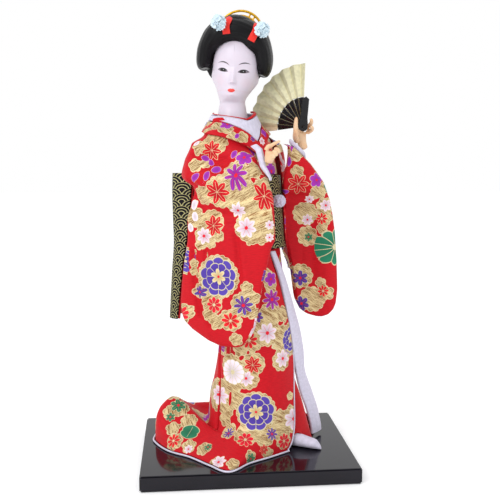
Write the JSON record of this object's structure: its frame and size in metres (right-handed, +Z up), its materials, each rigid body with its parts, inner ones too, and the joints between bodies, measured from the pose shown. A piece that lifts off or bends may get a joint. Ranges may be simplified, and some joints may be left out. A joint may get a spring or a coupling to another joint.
{
  "type": "geisha figurine",
  "caption": "Standing geisha doll in a brocade kimono with a trailing skirt, long sleeves, a dark sash and an open fan, fixed on a black display board.",
  "frame": {"origin": "centre of the board underside, on the surface it stands on", "axes": "+Z up, -Y the side that the figure faces, +X to the right as seen from the front"},
  "size_m": [0.138, 0.108, 0.2999],
  "materials": {
    "lacquer": "high-gloss black lacquer",
    "wood": "plain sanded wood",
    "padding": "plain padded cloth",
    "skin": "smooth pale satin",
    "hand_skin": "smooth warm satin",
    "hair": "black combed strands with a soft sheen",
    "gold": "polished gold colour",
    "ribbon": "red satin ribbon",
    "blossom": "pale blue fabric petals",
    "white_cloth": "plain white woven cloth",
    "red_cloth": "plain red silky cloth",
    "brocade": "red brocade with gold and coloured woven flowers",
    "black_brocade": "black brocade with pale gold waves",
    "fan_paper": "pale gold folded paper",
    "fan_black": "gloss black"
  },
  "bodies": {
    "root": {"base_board": "lacquer", "support_post": "wood", "body_form": "padding", "head": "skin", "wig": "hair", "comb": "gold", "hair_ribbon_left": "ribbon", "hair_ribbon_right": "ribbon", "hair_flower_left": "blossom", "hair_flower_right": "blossom", "inner_collar": "white_cloth", "collar_piping": "red_cloth", "kimono_collar": "brocade", "kimono_bodice": "brocade", "kimono_skirt": "brocade", "hem_piping": "white_cloth", "lining_band": "white_cloth", "red_underskirt": "red_cloth", "sleeve_right": "brocade", "sleeve_left": "brocade", "cuff_right": "white_cloth", "cuff_left": "white_cloth", "hand_right": "hand_skin", "hand_left": "hand_skin", "foot_left": "white_cloth", "fan_leaf": "fan_paper", "fan_ribs": "fan_black", "fan_guard": "fan_black", "fan_rivet": "fan_black", "obi": "black_brocade", "obi_knot": "black_brocade", "obi_tail": "black_brocade", "obi_tail_lining": "red_cloth", "obi_pompom": "white_cloth"}
  },
  "joints": []
}
